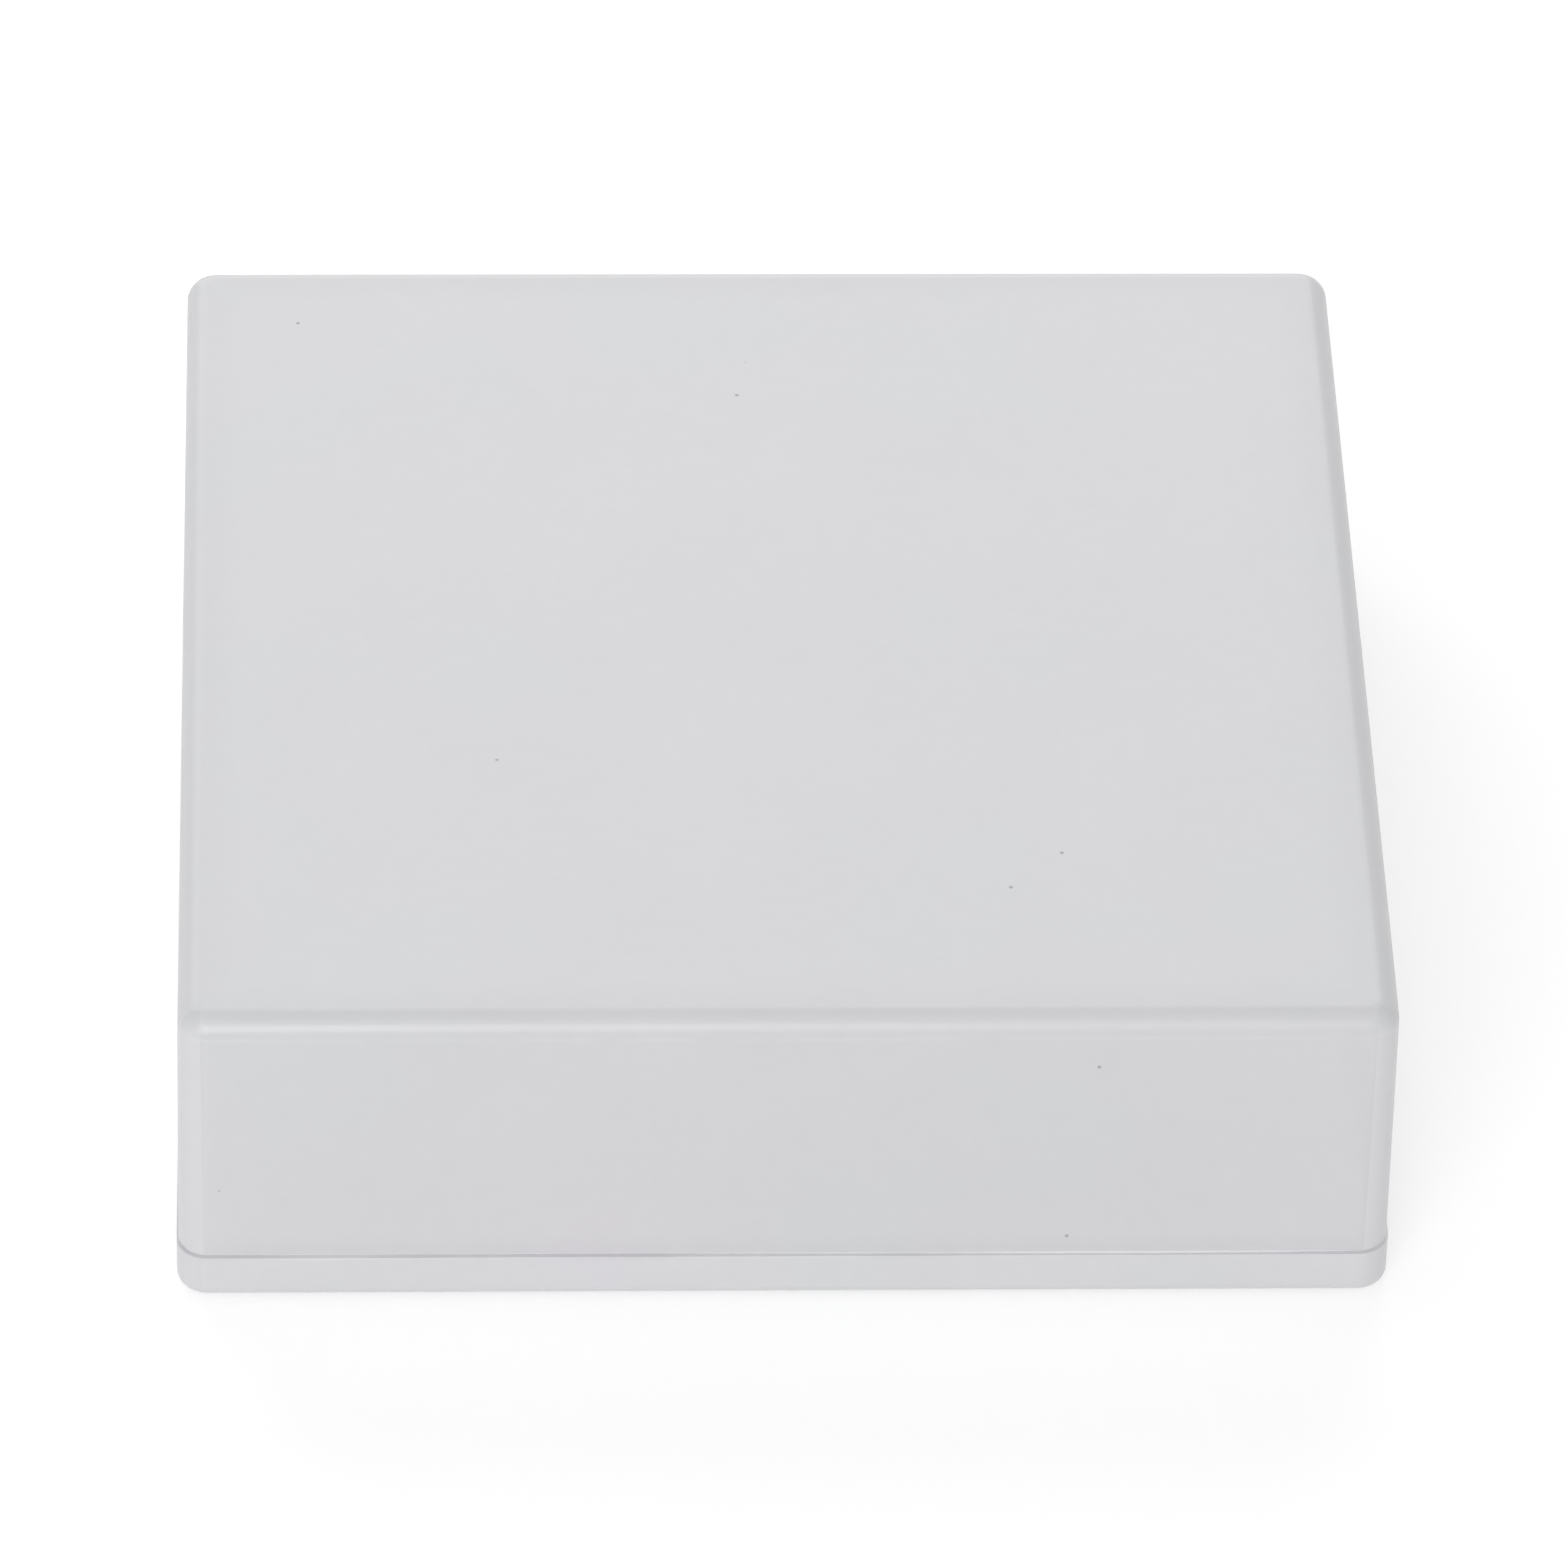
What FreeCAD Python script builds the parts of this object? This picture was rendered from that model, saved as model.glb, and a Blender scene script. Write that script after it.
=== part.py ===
import FreeCAD, Part
import os
import re
import Sketcher

# Raised pavement marker, hard-wired and lit both ways: a milky plastic housing closed by
# a base plate, with a U-shaped heat spreader inside that carries two LED boards and their
# driver.  Millimetres, +Z up, origin on the road face under the middle of the marker.
# X runs across the lane, and the front LEDs shine towards -Y.

doc = FreeCAD.newDocument("RaisedPavementMarker")
nodes = []


# ---------------------------------------------------------------- driving dimensions
DIMENSIONS = {
    # outside
    "marker_width": 100.0,
    "marker_length": 100.0,
    "marker_height": 30.0,
    "base_thickness": 4.5,
    "base_proud": 0.15,
    "draft_angle": 0.45,
    "corner_radius": 2.5,
    "top_edge_radius": 1.9,
    "base_edge_radius": 1.2,
    "seam_chamfer": 0.25,
    # housing shell and the joint with the base plate
    "wall_thickness": 1.9,
    "roof_thickness": 3.0,
    "cavity_corner_radius": 1.0,
    "spigot_height": 1.5,
    "spigot_corner_radius": 0.6,
    "gasket_width": 0.85,
    "fit_gap": 0.1,
    "thread_gap": 0.05,
    # keying grooves in the road face
    "groove_width": 3.0,
    "groove_depth": 0.8,
    "groove_pitch": 10.0,
    "groove_margin": 9.0,
    # housing screws, bosses and seals
    "boss_radius": 3.8,
    "boss_wall_gap": 2.7,
    "boss_spacing": 26.0,
    "housing_screw_radius": 1.5,
    "housing_screw_length": 13.0,
    "housing_head_radius": 2.8,
    "housing_head_height": 1.9,
    "head_recess": 0.3,
    "screw_seal_thickness": 0.6,
    # reflector plate and heat spreader
    "reflector_thickness": 1.0,
    "spreader_boss_gap": 1.7,
    "spreader_width": 36.0,
    "spreader_thickness": 1.5,
    "bend_radius": 1.0,
    "roof_pad_thickness": 0.8,
    "foot_inset": 3.0,
    # small screws
    "small_screw_radius": 1.25,
    "small_head_radius": 2.2,
    "small_head_height": 1.6,
    "small_socket_size": 1.5,
    "foot_screw_bite": 3.0,
    # LED boards
    "led_board_thickness": 1.6,
    "led_board_margin": 3.0,
    "led_board_lift": 1.0,
    "led_screw_inset": 3.0,
    "led_size": 3.5,
    "led_base_height": 0.7,
    "led_dome_radius": 1.5,
    "led_end_margin": 8.0,
    # driver board
    "driver_length": 34.0,
    "driver_width": 24.0,
    "driver_thickness": 1.6,
    "driver_inset": 2.5,
    "driver_hole_inset": 3.0,
    "standoff_height": 3.0,
    "standoff_radius": 2.2,
    "standoff_stub_radius": 1.9,
    "pin_pitch": 2.54,
    "pin_size": 0.64,
    "header_body": 2.6,
    "header_length": 5.2,
    "header_place": 23.5,
    # driver components, placed along the board from its end away from the inlet
    "varistor_place": 2.5,
    "package_place": 8.0,
    "package_offset": 5.7,
    "capacitor_place": 14.4,
    "inductor_place": 21.6,
    "capacitor_radius": 3.15,
    "capacitor_height": 7.0,
    "capacitor_gap": 1.6,
    "capacitor_foot_height": 1.0,
    "varistor_radius": 3.5,
    "varistor_thickness": 3.0,
    "varistor_lift": 0.8,
    "inductor_size": 7.0,
    "inductor_height": 4.0,
    "inductor_shield_height": 3.4,
    "inductor_core_radius": 2.5,
    "rectifier_length": 6.5,
    "rectifier_width": 5.0,
    "rectifier_height": 2.5,
    "chip_length": 4.9,
    "chip_width": 3.9,
    "chip_height": 1.5,
    "lead_reach": 0.5,
    "lead_tuck": 0.2,
    "lead_fill": 0.35,
    "lead_height": 0.6,
    "package_standoff": 0.1,
    "terminal_length": 8.0,
    "terminal_width": 10.0,
    "terminal_height": 7.0,
    "terminal_pitch": 5.0,
    "terminal_mouth_radius": 1.4,
    "terminal_screw_radius": 1.5,
    "terminal_well_depth": 2.3,
    "terminal_screw_height": 1.8,
    "terminal_slot_width": 0.5,
    "terminal_slot_depth": 0.8,
    # cable inlet
    "cable_radius": 2.5,
    "gland_radius": 6.0,
    "gland_flange_radius": 8.5,
    "gland_flange_height": 1.9,
    "gland_seal_thickness": 0.8,
    "gland_top_above_spigot": 6.5,
    "gland_seat_radius": 4.5,
    "gland_throat_gap": 0.3,
    "gland_margin": 1.5,
    "cable_seal_length": 6.0,
    "locknut_flats": 14.0,
    "locknut_height": 3.0,
    "gland_cap_radius": 7.4,
    "gland_cap_height": 5.0,
    "gland_cap_roof": 1.8,
}

sheet = doc.addObject("Spreadsheet::Sheet", "Dimensions")
for row, (alias, size) in enumerate(DIMENSIONS.items(), start=1):
    sheet.set(f"A{row}", alias.replace("_", " "))
    sheet.set(f"B{row}", str(size))
    sheet.setAlias(f"B{row}", alias)
doc.recompute()

# Sizes and heights that follow from the driving dimensions.
DERIVED = {
    "housing_width": "marker_width - 2 * base_proud",
    "housing_length": "marker_length - 2 * base_proud",
    "cavity_width": "housing_width - 2 * wall_thickness",
    "cavity_length": "housing_length - 2 * wall_thickness",
    "spigot_width": "cavity_width - 2 * gasket_width",
    "spigot_length": "cavity_length - 2 * gasket_width",
    "spigot_top": "base_thickness + spigot_height",
    "roof": "marker_height - roof_thickness",
    "boss_x": "cavity_width / 2 - boss_wall_gap - boss_radius",
    "boss_y": "boss_spacing / 2",
    "web_bottom": "spigot_top + reflector_thickness",
    "web_top": "web_bottom + spreader_thickness",
    "spreader_length": "2 * (boss_x - boss_radius - spreader_boss_gap)",
    "flange_top": "roof - roof_pad_thickness",
    "flange_y": "spreader_width / 2 - spreader_thickness / 2",
    "foot_x": "spreader_length / 2 - foot_inset",
    "foot_y": "spreader_width / 2 - spreader_thickness - foot_inset",
    "led_board_length": "spreader_length - 2 * led_board_margin",
    "led_board_bottom": "web_top + led_board_lift",
    "led_board_height": "flange_top - led_board_lift - led_board_bottom",
    "led_board_y": "spreader_width / 2 + led_board_thickness / 2",
    "led_board_face": "spreader_width / 2 + led_board_thickness",
    "led_axis": "led_board_bottom + led_board_height / 2",
    "led_screw_x": "led_board_length / 2 - led_screw_inset",
    "led_pitch": "(led_board_length - 2 * led_end_margin) / 5",
    "driver_bottom": "web_top + standoff_height",
    "driver_top": "driver_bottom + driver_thickness",
    "driver_end": "driver_inset - spreader_length / 2",
    "driver_x": "driver_end + driver_length / 2",
    "driver_hole_x": "driver_length / 2 - driver_hole_inset",
    "driver_hole_y": "driver_width / 2 - driver_hole_inset",
    "header_x": "driver_end + header_place",
    "header_y": "driver_width / 2 - header_body / 2",
    "pin_axis": "driver_top + header_body / 2",
    "pin_length": "led_board_face + pin_size - header_y",
    "terminal_seat": "driver_top + terminal_height - terminal_well_depth",
    "locknut_corner_radius": "locknut_flats / 2 / cos(30 deg)",
    "gland_opening_radius": "locknut_corner_radius + 6 * fit_gap",
    "gland_x": "spreader_length / 2 - gland_margin - gland_opening_radius",
    "gland_shelf": "head_recess + gland_flange_height + gland_seal_thickness",
    "gland_top": "spigot_top + gland_top_above_spigot",
    "cable_seal_bottom": "gland_top - cable_seal_length",
    "gland_cap_top": "gland_top + gland_cap_roof",
    "counterbore_depth": "head_recess + housing_head_height + screw_seal_thickness",
}


def expand(text):
    """Write an expression's size names as references to the sheet's cells."""
    def look_up(match):
        name = match.group(0)
        if name in DERIVED:
            return "(" + expand(DERIVED[name]) + ")"
        return "Dimensions." + name if name in DIMENSIONS else name
    return re.sub(r"[a-z_]+", look_up, text)


def bind(obj, path, expression):
    obj.setExpression(path, expand(expression))


# ---------------------------------------------------------------- sketched bodies
def new_body(name):
    return doc.addObject("PartDesign::Body", name)


def new_sketch(body, name, plane="XY_Plane", at=("0", "0", "0")):
    """A sketch on an origin plane, its own origin moved to `at` in the plane's axes."""
    sketch = body.newObject("Sketcher::SketchObject", name)
    support = next(f for f in body.Origin.OriginFeatures if f.Role == plane)
    sketch.AttachmentSupport = (support, "")
    sketch.MapMode = "FlatFace"
    for axis, expression in zip("xyz", at):
        bind(sketch, f"AttachmentOffset.Base.{axis}", expression)
    return sketch


def rectangle(sketch, width, length):
    """A rectangle centred on the sketch's origin."""
    corners = [(-5, -5), (5, -5), (5, 5), (-5, 5)]
    for i, (x, y) in enumerate(corners):
        start = FreeCAD.Vector(x, y, 0)
        end = FreeCAD.Vector(*corners[(i + 1) % 4], 0)
        sketch.addGeometry(Part.LineSegment(start, end), False)
    for i in range(4):
        sketch.addConstraint(Sketcher.Constraint("Coincident", i, 2, (i + 1) % 4, 1))
        sketch.addConstraint(Sketcher.Constraint("Vertical" if i % 2 else "Horizontal", i))
    sketch.addConstraint(Sketcher.Constraint("Symmetric", 0, 1, 1, 2, -1, 1))
    across = sketch.addConstraint(Sketcher.Constraint("DistanceX", 0, 1, 0, 2, 10))
    along = sketch.addConstraint(Sketcher.Constraint("DistanceY", 1, 1, 1, 2, 10))
    bind(sketch, f"Constraints[{across}]", width)
    bind(sketch, f"Constraints[{along}]", length)


def circle_at(sketch, sign_x, sign_y, x, y, radius):
    """A circle whose centre is (sign_x * x, sign_y * y); a sign of 0 keeps it on that axis."""
    centre = FreeCAD.Vector(sign_x * 10, sign_y * 10, 0)
    circle = sketch.addGeometry(Part.Circle(centre, FreeCAD.Vector(0, 0, 1), 2), False)
    size = sketch.addConstraint(Sketcher.Constraint("Radius", circle, 2))
    bind(sketch, f"Constraints[{size}]", radius)
    if sign_x == 0 and sign_y == 0:
        sketch.addConstraint(Sketcher.Constraint("Coincident", circle, 3, -1, 1))
        return
    for kind, sign, place, axis in (("DistanceX", sign_x, x, -2), ("DistanceY", sign_y, y, -1)):
        if sign == 0:
            sketch.addConstraint(Sketcher.Constraint("PointOnObject", circle, 3, axis))
            continue
        ends = (-1, 1, circle, 3) if sign > 0 else (circle, 3, -1, 1)
        offset = sketch.addConstraint(Sketcher.Constraint(kind, *ends, 10))
        bind(sketch, f"Constraints[{offset}]", place)


def four_circles(sketch, x, y, radius):
    for sign_x in (-1, 1):
        for sign_y in (-1, 1):
            circle_at(sketch, sign_x, sign_y, x, y, radius)


def extrude(body, sketch, kind, name, length, reverse=False, midplane=False, taper=None):
    """A Pad, or a Pocket: a Pocket cuts against its sketch's normal unless reversed."""
    feature = body.newObject(f"PartDesign::{kind}", name)
    feature.Profile = sketch
    feature.Reversed = reverse
    if midplane:
        feature.SideType = "Symmetric"
    bind(feature, "Length", length)
    if taper:
        bind(feature, "TaperAngle", taper)
    sketch.Visibility = False
    doc.recompute()
    return feature


def ease_edges(body, base, name, size, wanted, kind="Fillet"):
    """A Fillet or a Chamfer on the edges of `base` for which wanted(edge) is true."""
    edges = [f"Edge{i}" for i, edge in enumerate(base.Shape.Edges, start=1) if wanted(edge)]
    easing = body.newObject(f"PartDesign::{kind}", name)
    easing.Base = (base, edges)
    bind(easing, "Radius" if kind == "Fillet" else "Size", size)
    doc.recompute()
    return easing


def upright(edge):
    """True for a straight edge that climbs, as the corners of an extruded block do."""
    rise = edge.BoundBox.ZLength
    return rise > 0.5 and rise > 0.98 * edge.Length


def level_at(height):
    """A test for edges that lie flat at one height."""
    return lambda edge: edge.BoundBox.ZLength < 1e-4 and abs(edge.BoundBox.ZMax - height) < 1e-4


def finish_body(body, last):
    body.Tip = last
    nodes.append(body)


# ---------------------------------------------------------------- solids from primitives
TURNS = {
    "x": FreeCAD.Rotation(FreeCAD.Vector(0, 1, 0), 90),
    "y": FreeCAD.Rotation(FreeCAD.Vector(1, 0, 0), -90),
    "z": FreeCAD.Rotation(),
}


def place(obj, x, y, z):
    for axis, expression in zip("xyz", (x, y, z)):
        bind(obj, f"Placement.Base.{axis}", expression)


def box(name, size, centre, bottom):
    """A box of (x, y, z) size that stands on `bottom`, centred on a point in plan."""
    obj = doc.addObject("Part::Box", name)
    for prop, expression in zip(("Length", "Width", "Height"), size):
        bind(obj, prop, expression)
    place(obj, f"{centre[0]} - ({size[0]}) / 2", f"{centre[1]} - ({size[1]}) / 2", bottom)
    return obj


def cylinder(name, radius, length, start, axis="z"):
    """A cylinder that runs from `start` along +X, +Y or +Z."""
    obj = doc.addObject("Part::Cylinder", name)
    bind(obj, "Radius", radius)
    bind(obj, "Height", length)
    obj.Placement = FreeCAD.Placement(FreeCAD.Vector(), TURNS[axis])
    place(obj, *start)
    return obj


def hexagon(name, circumradius, length, start, axis="z"):
    obj = doc.addObject("Part::Prism", name)
    obj.Polygon = 6
    bind(obj, "Circumradius", circumradius)
    bind(obj, "Height", length)
    obj.Placement = FreeCAD.Placement(FreeCAD.Vector(), TURNS[axis])
    place(obj, *start)
    return obj


def fuse(name, shapes):
    obj = doc.addObject("Part::MultiFuse", name)
    obj.Shapes = shapes
    obj.Refine = True
    return obj


def cut(name, base, tools):
    obj = doc.addObject("Part::Cut", name)
    obj.Base = base
    obj.Tool = tools[0] if len(tools) == 1 else fuse(name + "_tools", tools)
    return obj


def group(name, solids):
    """Like pieces that share one node but stay separate solids."""
    obj = doc.addObject("Part::Compound", name)
    obj.Links = solids
    return obj


def socket_screw(name, x, y, seat, sign, axis, radius, head_radius, head_height, length):
    """A screw whose head stands on `seat` towards `sign` along the axis, shank the other way."""
    def along(distance):
        spot = f"{seat} + ({distance})" if sign > 0 else f"{seat} - ({distance})"
        return (x, y, spot) if axis == "z" else (x, spot, y)

    head_start, shank_start = ("0", length) if sign > 0 else (head_height, "0")
    shank_at = along(f"-({shank_start})") if sign > 0 else along("0")
    socket_at = along(f"{head_height} / 2") if sign > 0 else along(head_height)
    head = cylinder(name + "_head", head_radius, head_height, along(head_start), axis)
    shank = cylinder(name + "_shank", radius, length, shank_at, axis)
    socket = hexagon(name + "_socket", f"{head_radius} / 2", f"{head_height} / 2", socket_at, axis)
    return cut(name, fuse(name + "_blank", [head, shank]), [socket])


# ---------------------------------------------------------------- housing
def make_housing():
    """Translucent cover: a drafted block with a hollow and four screw bosses under its roof."""
    body = new_body("housing")
    height = "marker_height - base_thickness"
    outline = new_sketch(body, "housing_outline", at=("0", "0", "base_thickness"))
    rectangle(outline, "housing_width", "housing_length")
    block = extrude(body, outline, "Pad", "housing_block", height, taper="-draft_angle")
    corners = ease_edges(body, block, "housing_corners", "corner_radius", upright)
    top = ease_edges(body, corners, "housing_top_edge", "top_edge_radius",
                     level_at(sheet.get("marker_height")))

    foot_edges = level_at(sheet.get("base_thickness"))
    ease_edges(body, top, "housing_foot", "seam_chamfer", foot_edges, "Chamfer")

    hollow = new_sketch(body, "cavity_outline", at=("0", "0", "base_thickness"))
    rectangle(hollow, "cavity_width", "cavity_length")
    cavity = extrude(body, hollow, "Pocket", "cavity", "roof - base_thickness", reverse=True,
                     taper="-draft_angle")
    half_width = sheet.get("marker_width") / 2 - sheet.get("base_proud")
    inside = half_width - sheet.get("wall_thickness") / 2

    def cavity_corner(edge):
        return upright(edge) and abs(edge.CenterOfMass.x) < inside

    ease_edges(body, cavity, "cavity_corners", "cavity_corner_radius", cavity_corner)

    bosses = new_sketch(body, "boss_circles", at=("0", "0", "spigot_top"))
    four_circles(bosses, "boss_x", "boss_y", "boss_radius")
    extrude(body, bosses, "Pad", "bosses", "roof - spigot_top + roof_thickness / 2")
    pilots = new_sketch(body, "pilot_circles", at=("0", "0", "spigot_top"))
    four_circles(pilots, "boss_x", "boss_y", "housing_screw_radius + thread_gap")
    last = extrude(body, pilots, "Pocket", "pilot_holes", "housing_screw_length", reverse=True)
    finish_body(body, last)


# ---------------------------------------------------------------- base plate
def make_base_plate():
    """Floor of the marker, with a spigot that centres the housing, and a grooved road face."""
    body = new_body("base_plate")
    outline = new_sketch(body, "base_outline")
    rectangle(outline, "marker_width", "marker_length")
    plate = extrude(body, outline, "Pad", "base_block", "base_thickness")
    corners = ease_edges(body, plate, "base_corners", "corner_radius", upright)
    ease_edges(body, corners, "base_lower_edge", "base_edge_radius", level_at(0))

    spigot_outline = new_sketch(body, "spigot_outline")
    rectangle(spigot_outline, "spigot_width", "spigot_length")
    spigot = extrude(body, spigot_outline, "Pad", "spigot", "spigot_top")
    rim = sheet.get("base_thickness")

    def spigot_corner(edge):
        return upright(edge) and edge.BoundBox.ZMin > rim - 1e-4

    ease_edges(body, spigot, "spigot_corners", "spigot_corner_radius", spigot_corner)

    half_count = "floor((marker_length / 2 - groove_margin) / groove_pitch)"
    groove_outline = new_sketch(body, "groove_outline",
                                at=("0", f"-groove_pitch * {half_count}", "0"))
    rectangle(groove_outline, "marker_width - 2 * groove_margin", "groove_width")
    groove = extrude(body, groove_outline, "Pocket", "groove", "groove_depth", reverse=True)
    grooves = body.newObject("PartDesign::LinearPattern", "grooves")
    grooves.Originals = [groove]
    grooves.Direction = (groove_outline, ["V_Axis"])
    grooves.Mode = "Spacing"
    bind(grooves, "Offset", "groove_pitch")
    bind(grooves, "Occurrences", f"2 * {half_count} + 1")
    body.Tip = grooves
    doc.recompute()

    holes = new_sketch(body, "screw_holes_outline")
    four_circles(holes, "boss_x", "boss_y", "housing_screw_radius + fit_gap")
    extrude(body, holes, "Pocket", "screw_holes", "spigot_top", reverse=True)
    sinks = new_sketch(body, "counterbore_outline")
    four_circles(sinks, "boss_x", "boss_y", "housing_head_radius + 4 * fit_gap")
    extrude(body, sinks, "Pocket", "counterbores", "counterbore_depth", reverse=True)

    inlet = new_sketch(body, "inlet_outline")
    circle_at(inlet, 1, 0, "gland_x", "0", "gland_radius + fit_gap")
    extrude(body, inlet, "Pocket", "inlet_hole", "spigot_top", reverse=True)
    recess = new_sketch(body, "inlet_recess_outline")
    circle_at(recess, 1, 0, "gland_x", "0", "gland_flange_radius + 4 * fit_gap")
    extrude(body, recess, "Pocket", "inlet_recess", "gland_shelf", reverse=True)

    pilots = new_sketch(body, "foot_pilot_outline", at=("0", "0", "spigot_top"))
    four_circles(pilots, "foot_x", "foot_y", "small_screw_radius + thread_gap")
    last = extrude(body, pilots, "Pocket", "foot_pilots", "foot_screw_bite")
    finish_body(body, last)


# ---------------------------------------------------------------- housing gasket
def make_housing_gasket():
    """Silicone ring squeezed between the spigot and the foot of the housing's walls."""
    body = new_body("housing_gasket")
    outer = new_sketch(body, "gasket_outer", at=("0", "0", "base_thickness"))
    rectangle(outer, "cavity_width - fit_gap / 2", "cavity_length - fit_gap / 2")
    ring = extrude(body, outer, "Pad", "gasket_block", "spigot_height")
    ease_edges(body, ring, "gasket_outer_corners", "cavity_corner_radius", upright)
    inner = new_sketch(body, "gasket_inner", at=("0", "0", "base_thickness"))
    rectangle(inner, "spigot_width", "spigot_length")
    hole = extrude(body, inner, "Pocket", "gasket_hole", "spigot_height", reverse=True)
    inside = sheet.get("marker_width") / 2 - sheet.get("base_proud")
    inside -= sheet.get("wall_thickness") + sheet.get("gasket_width") / 2

    def hole_corner(edge):
        return upright(edge) and abs(edge.CenterOfMass.x) < inside

    last = ease_edges(body, hole, "gasket_inner_corners", "spigot_corner_radius", hole_corner)
    finish_body(body, last)


# ---------------------------------------------------------------- housing screws and seals
def make_housing_screws():
    """Self-tapping screws up through the base plate into the bosses, each over a rubber ring."""
    screws = []
    seals = []
    for sign_x in (-1, 1):
        for sign_y in (-1, 1):
            spot = f"{len(screws) + 1}"
            x = f"{sign_x} * boss_x"
            y = f"{sign_y} * boss_y"
            screws.append(socket_screw(
                "housing_screw_" + spot, x, y, "head_recess + housing_head_height", -1, "z",
                "housing_screw_radius", "housing_head_radius", "housing_head_height",
                "housing_screw_length"))
            seat = "head_recess + housing_head_height"
            disc = cylinder("screw_seal_disc_" + spot, "housing_head_radius",
                            "screw_seal_thickness", (x, y, seat))
            hole = cylinder("screw_seal_hole_" + spot, "housing_screw_radius",
                            "screw_seal_thickness", (x, y, seat))
            seals.append(cut("screw_seal_" + spot, disc, [hole]))
    nodes.append(group("housing_screws", screws))
    nodes.append(group("screw_seals", seals))


# ---------------------------------------------------------------- reflector plate
def make_reflector_plate():
    """White floor of the light chamber, laid on the spigot around the bosses and the inlet."""
    body = new_body("reflector_plate")
    outline = new_sketch(body, "reflector_outline", at=("0", "0", "spigot_top"))
    rectangle(outline, "spigot_width - 2 * fit_gap", "spigot_length - 2 * fit_gap")
    sheet_pad = extrude(body, outline, "Pad", "reflector_block", "reflector_thickness")
    ease_edges(body, sheet_pad, "reflector_corners", "spigot_corner_radius", upright)
    bosses = new_sketch(body, "reflector_boss_holes", at=("0", "0", "spigot_top"))
    four_circles(bosses, "boss_x", "boss_y", "boss_radius + 3 * fit_gap")
    extrude(body, bosses, "Pocket", "boss_clearance", "reflector_thickness", reverse=True)
    feet = new_sketch(body, "reflector_foot_holes", at=("0", "0", "spigot_top"))
    four_circles(feet, "foot_x", "foot_y", "small_screw_radius + fit_gap")
    extrude(body, feet, "Pocket", "foot_clearance", "reflector_thickness", reverse=True)
    inlet = new_sketch(body, "reflector_inlet_hole", at=("0", "0", "spigot_top"))
    circle_at(inlet, 1, 0, "gland_x", "0", "gland_opening_radius")
    last = extrude(body, inlet, "Pocket", "inlet_clearance", "reflector_thickness", reverse=True)
    finish_body(body, last)


# ---------------------------------------------------------------- heat spreader
def make_heat_spreader():
    """Aluminium channel: a web screwed down to the base plate and two upright flanges."""
    body = new_body("heat_spreader")
    web_outline = new_sketch(body, "web_outline", at=("0", "0", "web_bottom"))
    rectangle(web_outline, "spreader_length", "spreader_width")
    extrude(body, web_outline, "Pad", "web", "spreader_thickness")
    for side, sign in (("front", "-"), ("rear", "")):
        outline = new_sketch(body, f"{side}_flange_outline",
                             at=("0", f"{sign}flange_y", "web_bottom"))
        rectangle(outline, "spreader_length", "spreader_thickness")
        last = extrude(body, outline, "Pad", f"{side}_flange", "flange_top - web_bottom")
    floor = sheet.get("base_thickness") + sheet.get("spigot_height")
    floor += sheet.get("reflector_thickness")

    def bend(edge):
        return level_at(floor)(edge) and edge.BoundBox.XLength > edge.BoundBox.YLength

    ease_edges(body, last, "bends", "bend_radius", bend)

    def drill(name, x, y, radius):
        holes = new_sketch(body, name + "_outline", at=("0", "0", "web_bottom"))
        four_circles(holes, x, y, radius)
        return extrude(body, holes, "Pocket", name, "spreader_thickness", reverse=True)

    drill("foot_holes", "foot_x", "foot_y", "small_screw_radius + fit_gap")
    standoffs = new_sketch(body, "standoff_holes_outline", at=("driver_x", "0", "web_bottom"))
    four_circles(standoffs, "driver_hole_x", "driver_hole_y", "standoff_stub_radius")
    extrude(body, standoffs, "Pocket", "standoff_holes", "spreader_thickness", reverse=True)
    inlet = new_sketch(body, "web_inlet_outline", at=("0", "0", "web_bottom"))
    circle_at(inlet, 1, 0, "gland_x", "0", "gland_opening_radius")
    extrude(body, inlet, "Pocket", "web_inlet", "spreader_thickness", reverse=True)

    screws = new_sketch(body, "flange_tapped_outline", "XZ_Plane", ("0", "led_axis", "0"))
    for sign_x in (-1, 1):
        circle_at(screws, sign_x, 0, "led_screw_x", "0", "small_screw_radius + thread_gap")
    extrude(body, screws, "Pocket", "flange_tapped_holes", "spreader_width", midplane=True)
    window = new_sketch(body, "header_window_outline", "XZ_Plane", ("header_x", "pin_axis", "0"))
    rectangle(window, "header_length + 4 * fit_gap", "header_body")
    last = extrude(body, window, "Pocket", "header_windows", "spreader_width", midplane=True)
    finish_body(body, last)


def make_spreader_screws():
    """Four screws that hold the heat spreader and the reflector plate down."""
    screws = []
    for sign_x in (-1, 1):
        for sign_y in (-1, 1):
            screws.append(socket_screw(
                f"spreader_screw_{len(screws) + 1}", f"{sign_x} * foot_x", f"{sign_y} * foot_y",
                "web_top", 1, "z", "small_screw_radius", "small_head_radius",
                "small_head_height", "spreader_thickness + reflector_thickness + foot_screw_bite"
                " - fit_gap"))
    nodes.append(group("spreader_screws", screws))


def make_roof_pads():
    """Silicone strips on the flanges that carry wheel loads from the roof into the spreader."""
    pads = []
    for side, sign in (("front", "-1"), ("rear", "1")):
        pads.append(box(f"{side}_roof_pad", ("spreader_length - 2 * foot_inset",
                                             "spreader_thickness", "roof_pad_thickness"),
                        ("0", f"{sign} * flange_y"), "flange_top"))
    nodes.append(group("roof_pads", pads))


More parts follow.
